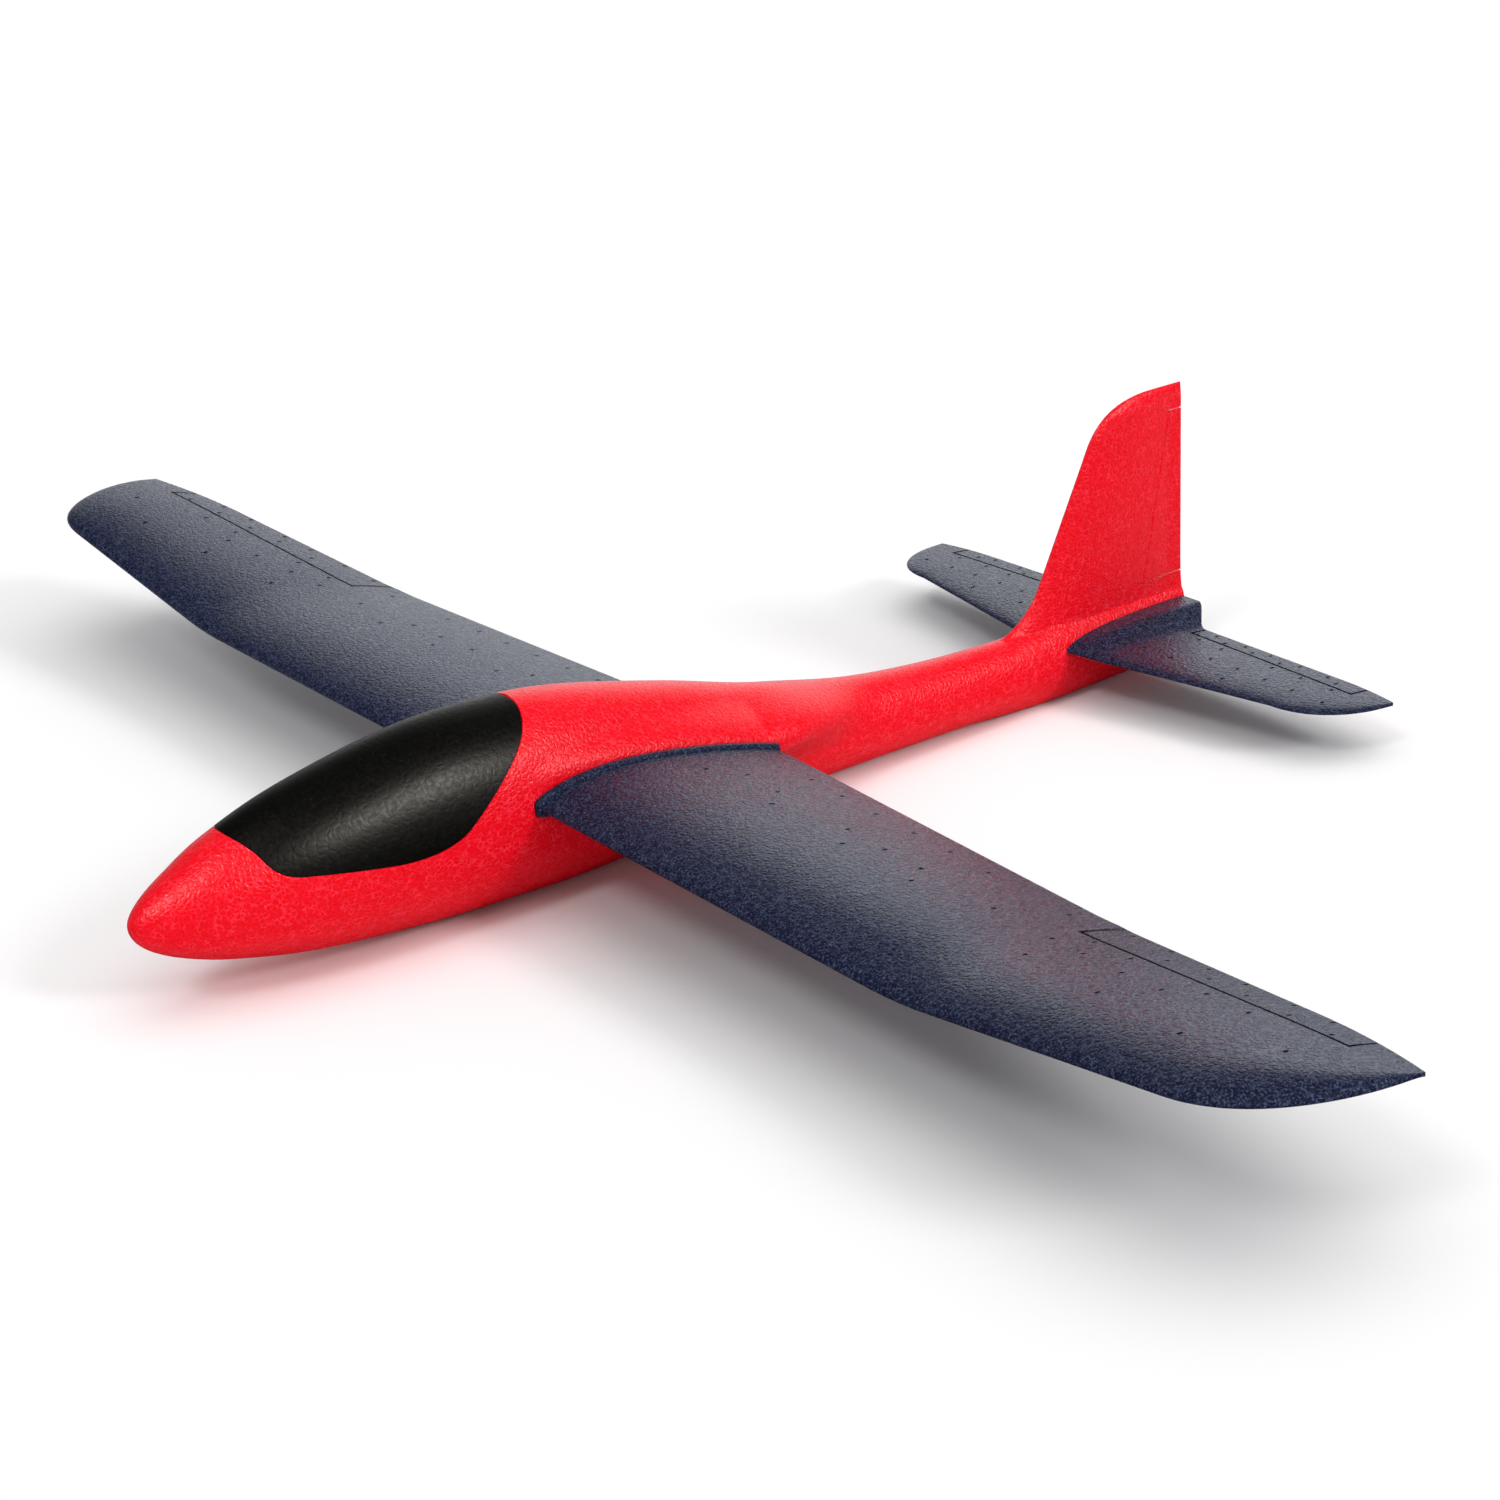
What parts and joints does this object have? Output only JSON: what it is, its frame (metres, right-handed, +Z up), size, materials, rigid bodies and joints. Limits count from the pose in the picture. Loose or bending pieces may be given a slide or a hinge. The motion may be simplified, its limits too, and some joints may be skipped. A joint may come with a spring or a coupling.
{
  "type": "hand-launched foam glider",
  "caption": "Unpowered foam model glider with a tall moulded fuselage, a lift-off canopy, plug-in wings with raised tips, plug-in tail halves and control surfaces on bending webs.",
  "frame": {"origin": "on the symmetry plane, on the flat of the belly, below 30% of the wing's root chord", "axes": "+X aft (the nose points along -X), +Y to the right wing, +Z up"},
  "size_m": [0.6498, 1.0098, 0.1584],
  "materials": {
    "red_foam": "moulded bead foam, satin skin with a network of bead edges",
    "navy_foam": "moulded bead foam, dark blue with grey-blue sheen and fine speckle",
    "black_foam": "moulded bead foam, smooth satin black with small pits",
    "carbon_rod": "pultruded carbon fibre, fine lengthwise grain",
    "steel": "turned steel slug",
    "magnet": "nickel-plated disc magnet"
  },
  "bodies": {
    "fuselage": {"fuselage": "red_foam", "rudder_hinge": "red_foam", "nose_weight": "steel", "nose_weight_plug": "red_foam", "seat_magnet": "magnet", "wing_joiner": "carbon_rod", "tail_joiner": "carbon_rod"},
    "rudder": {"rudder": "red_foam"},
    "canopy": {"canopy": "black_foam", "canopy_magnet": "magnet"},
    "wing_right": {"wing_right": "navy_foam", "wing_spar_right": "carbon_rod", "aileron_hinge_right": "navy_foam"},
    "aileron_right": {"aileron_right": "navy_foam"},
    "tailplane_right": {"tailplane_right": "navy_foam", "elevator_hinge_right": "navy_foam"},
    "elevator_right": {"elevator_right": "navy_foam"},
    "wing_left": {"wing_left": "navy_foam", "wing_spar_left": "carbon_rod", "aileron_hinge_left": "navy_foam"},
    "aileron_left": {"aileron_left": "navy_foam"},
    "tailplane_left": {"tailplane_left": "navy_foam", "elevator_hinge_left": "navy_foam"},
    "elevator_left": {"elevator_left": "navy_foam"}
  },
  "joints": [
    {"name": "rudder_hinge_turn", "type": "hinge", "parent": "fuselage", "child": "rudder", "pos_m": [0.3815, 0, 0.0495], "axis": [0.2256, 0, 0.9742], "range_deg": [-20, 20]},
    {"name": "canopy_lift", "type": "slide", "parent": "fuselage", "child": "canopy", "axis": [0, 0, 1], "range_m": [0, 0.055]},
    {"name": "wing_plug_right", "type": "slide", "parent": "fuselage", "child": "wing_right", "axis": [0, 1, 0], "range_m": [0, 0.14]},
    {"name": "aileron_turn_right", "type": "hinge", "parent": "wing_right", "child": "aileron_right", "pos_m": [0.05599, 0.30259, 0.05457], "axis": [-0.1329, 0.9827, 0.1292], "range_deg": [-20, 20]},
    {"name": "tailplane_plug_right", "type": "slide", "parent": "fuselage", "child": "tailplane_right", "axis": [0, 1, 0], "range_m": [0, 0.05]},
    {"name": "elevator_turn_right", "type": "hinge", "parent": "tailplane_right", "child": "elevator_right", "pos_m": [0.3865, 0.037, 0.02788], "axis": [-0.0416, 0.9991, 0], "range_deg": [-20, 20]},
    {"name": "wing_plug_left", "type": "slide", "parent": "fuselage", "child": "wing_left", "axis": [0, -1, 0], "range_m": [0, 0.14]},
    {"name": "aileron_turn_left", "type": "hinge", "parent": "wing_left", "child": "aileron_left", "pos_m": [0.05599, -0.30259, 0.05457], "axis": [0.1329, 0.9827, -0.1292], "range_deg": [-20, 20]},
    {"name": "tailplane_plug_left", "type": "slide", "parent": "fuselage", "child": "tailplane_left", "axis": [0, -1, 0], "range_m": [0, 0.05]},
    {"name": "elevator_turn_left", "type": "hinge", "parent": "tailplane_left", "child": "elevator_left", "pos_m": [0.3865, -0.037, 0.02788], "axis": [0.0416, 0.9991, 0], "range_deg": [-20, 20]}
  ]
}
